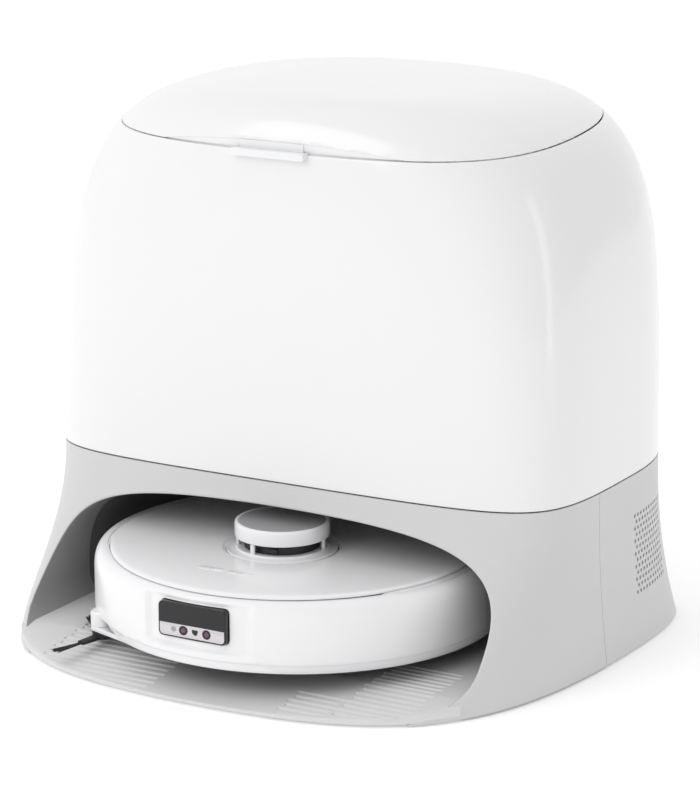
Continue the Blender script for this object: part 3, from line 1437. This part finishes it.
def build_feet():
    parts = []
    for x, y in ((-150, -150), (150, -150), (-215, 60), (215, 60), (-150, 205), (150, 205)):
        parts.append(
            smooth_by_angle(
                lathe(
                    "foot",
                    [(0.001, 0.0), (9.6, 0.0), (10.6, 0.4), (11.0, 1.2), (11.0, 2.4), (0.001, 2.4)],
                    (x, y), 48, closed=False,
                ),
                35,
            )
        )
    finish_piece(join("rubber_feet_skin", parts), "rubber_feet")


def build_caster():
    wheel = spin_piece(
        "wheel",
        [
            (0.001, -7.6), (1.5, -7.6), (1.5, -5.0), (6, -4.6), (8.6, -4.6), (9.7, -3.6), (10.0, -2),
            (10.0, 2), (9.7, 3.6), (8.6, 4.6), (6, 4.6), (1.5, 5.0), (1.5, 7.6), (0.001, 7.6),
        ],
        (0, -174, 24.3), "x", 64,
    )
    finish_piece(wheel, "caster_wheel")


def soft_bag():
    """The dust bag: a loose sewn bag that filled with air and sagged a little."""
    bm = bmesh.new()
    bmesh.ops.create_cube(bm, size=1)
    for v in bm.verts:
        v.co = Vector((v.co.x * 66 * MM, (v.co.y * 150 + 50) * MM, (v.co.z * 62 + 309) * MM))
    me = bpy.data.meshes.new("dust_bag_skin")
    bm.to_mesh(me)
    bm.free()
    ob = bpy.data.objects.new("dust_bag_skin", me)
    bpy.context.scene.collection.objects.link(ob)
    m = ob.modifiers.new("remesh", "REMESH")
    m.mode, m.voxel_size = "VOXEL", 5 * MM
    apply_modifiers(ob)
    m = ob.modifiers.new("cloth", "CLOTH")
    st = m.settings
    st.quality = 6
    st.mass = 0.15
    st.use_pressure = True
    st.uniform_pressure_force = 3.0
    st.tension_stiffness = st.compression_stiffness = 15
    st.bending_stiffness = 0.6
    st.effector_weights.gravity = 0
    scene = bpy.context.scene
    scene.frame_start, scene.frame_end = 1, 20
    m.point_cache.frame_start, m.point_cache.frame_end = 1, 20
    for f in range(1, 21):
        scene.frame_set(f)
    apply_modifiers(ob)
    scene.frame_set(1)
    co = np.array([v.co for v in ob.data.vertices])
    lo, hi = co.min(0), co.max(0)
    box_lo, box_hi = (np.array(v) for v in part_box("dust_bag"))
    mid, want = (box_lo + box_hi) / 2, (box_hi - box_lo) * 0.995
    k = np.minimum(want / (hi - lo), 1.15)
    co = (co - (lo + hi) / 2) * k + mid
    for v, c in zip(ob.data.vertices, co):
        v.co = c
    m = ob.modifiers.new("smooth", "SUBSURF")
    m.levels = m.render_levels = 1
    apply_modifiers(ob)
    co = np.array([v.co for v in ob.data.vertices])
    for f in ob.data.polygons:
        f.use_smooth = True
    finish_piece(ob, "dust_bag")
    return ob


# ------------------------------------------------------------------ assemble
shell = build_upper_shell()
lid = build_lid()
shell_hinge, lid_hinge = build_hinge()
finish_piece(join("upper_shell_skin", [shell] + shell_hinge), "upper_shell")
finish_piece(join("lid_skin", [lid] + lid_hinge), "lid")
finish_piece(build_front_fascia(), "front_fascia", mat=False)
finish_piece(build_rear_housing(), "rear_housing")
finish_piece(build_bay_liner(), "bay_liner", mat="inner_grey")
trim(build_lid_scoop(), BODY_OF["lid"], SLOT_OF["lid"])
finish_piece(build_tray(), "base_tray")
build_finger_tab()
build_top_ledge()
finish_piece(build_bumper(), "robot_bumper")
finish_piece(build_housing(), "robot_housing")
finish_piece(build_cover(), "robot_top_cover")
build_turret()
build_window()
build_buttons()
build_wheels()
build_rollers()
build_side_brush()
build_mops()
build_feet()
build_caster()
soft_bag()

shown = {n for o in bpy.data.objects for n in o.get("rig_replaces", [])}
for node, ob in NODES.items():
    if node in shown:
        continue
    for s in ob.material_slots:
        s.material = M[SLOT_OF[node]]
    if not ob.material_slots:
        ob.data.materials.append(M[SLOT_OF[node]])

# --------------------------------------------------------- floor, light, camera
bpy.ops.mesh.primitive_plane_add(size=14, location=(0, 0, 0))
floor = bpy.context.object
floor.name = "floor"
floor_mat = material("floor", (0.94, 0.94, 0.94), 0.9, mottle=0.02)
floor_shader = floor_mat.node_tree.nodes["Principled BSDF"]
floor_shader.inputs["Emission Color"].default_value = (1, 1, 1, 1)
floor_shader.inputs["Emission Strength"].default_value = 0.2
floor.data.materials.append(floor_mat)

world = bpy.data.worlds.new("studio")
bpy.context.scene.world = world
world.use_nodes = True
sky = world.node_tree
where = sky.nodes.new("ShaderNodeTexCoord")
split = sky.nodes.new("ShaderNodeSeparateXYZ")
shade = sky.nodes.new("ShaderNodeMapRange")
shade.inputs["From Min"].default_value = 0.1
shade.inputs["From Max"].default_value = 0.75
shade.inputs["To Min"].default_value = 0.98
shade.inputs["To Max"].default_value = 0.58
sky.links.new(where.outputs["Generated"], split.inputs["Vector"])
sky.links.new(split.outputs["X"], shade.inputs["Value"])
sky.links.new(shade.outputs["Result"], sky.nodes["Background"].inputs["Strength"])
sky.nodes["Background"].inputs["Color"].default_value = (1, 1, 1, 1)


def area(name, where, aim, size, power, size_y=None, color=(1, 1, 1)):
    light = bpy.data.lights.new(name, "AREA")
    light.energy, light.size, light.color = power, size, color
    if size_y:
        light.shape, light.size_y = "RECTANGLE", size_y
    ob = bpy.data.objects.new(name, light)
    ob.location = where
    ob.rotation_euler = (Vector(aim) - Vector(where)).to_track_quat("-Z", "Y").to_euler()
    bpy.context.scene.collection.objects.link(ob)
    return ob


area("key", (-0.9, -2.0, 1.8), (0, 0, 0.15), 1.4, 9)
area("side", (2.3, -0.1, 0.9), (0.1, 0, 0.25), 0.35, 2.4, 1.8)
area("top", (0, 0.2, 2.6), (0, 0, 0.2), 2.2, 2)

eye, target = Vector((1.3242, -2.2824, 0.8853)), Vector((0, 0.0729, 0.1840))
cam = bpy.data.cameras.new("camera")
cam.lens, cam.sensor_width, cam.sensor_fit = 144.03, 36, "VERTICAL"
cam.sensor_height = 36
cam.shift_x = -0.0271
cam.clip_start, cam.clip_end = 0.05, 30
camera = bpy.data.objects.new("camera", cam)
camera.location = eye
camera.rotation_euler = (target - eye).to_track_quat("-Z", "Y").to_euler()
bpy.context.scene.collection.objects.link(camera)
bpy.context.scene.camera = camera
bpy.context.scene.view_settings.view_transform = "Standard"
bpy.context.scene.view_settings.look = "None"
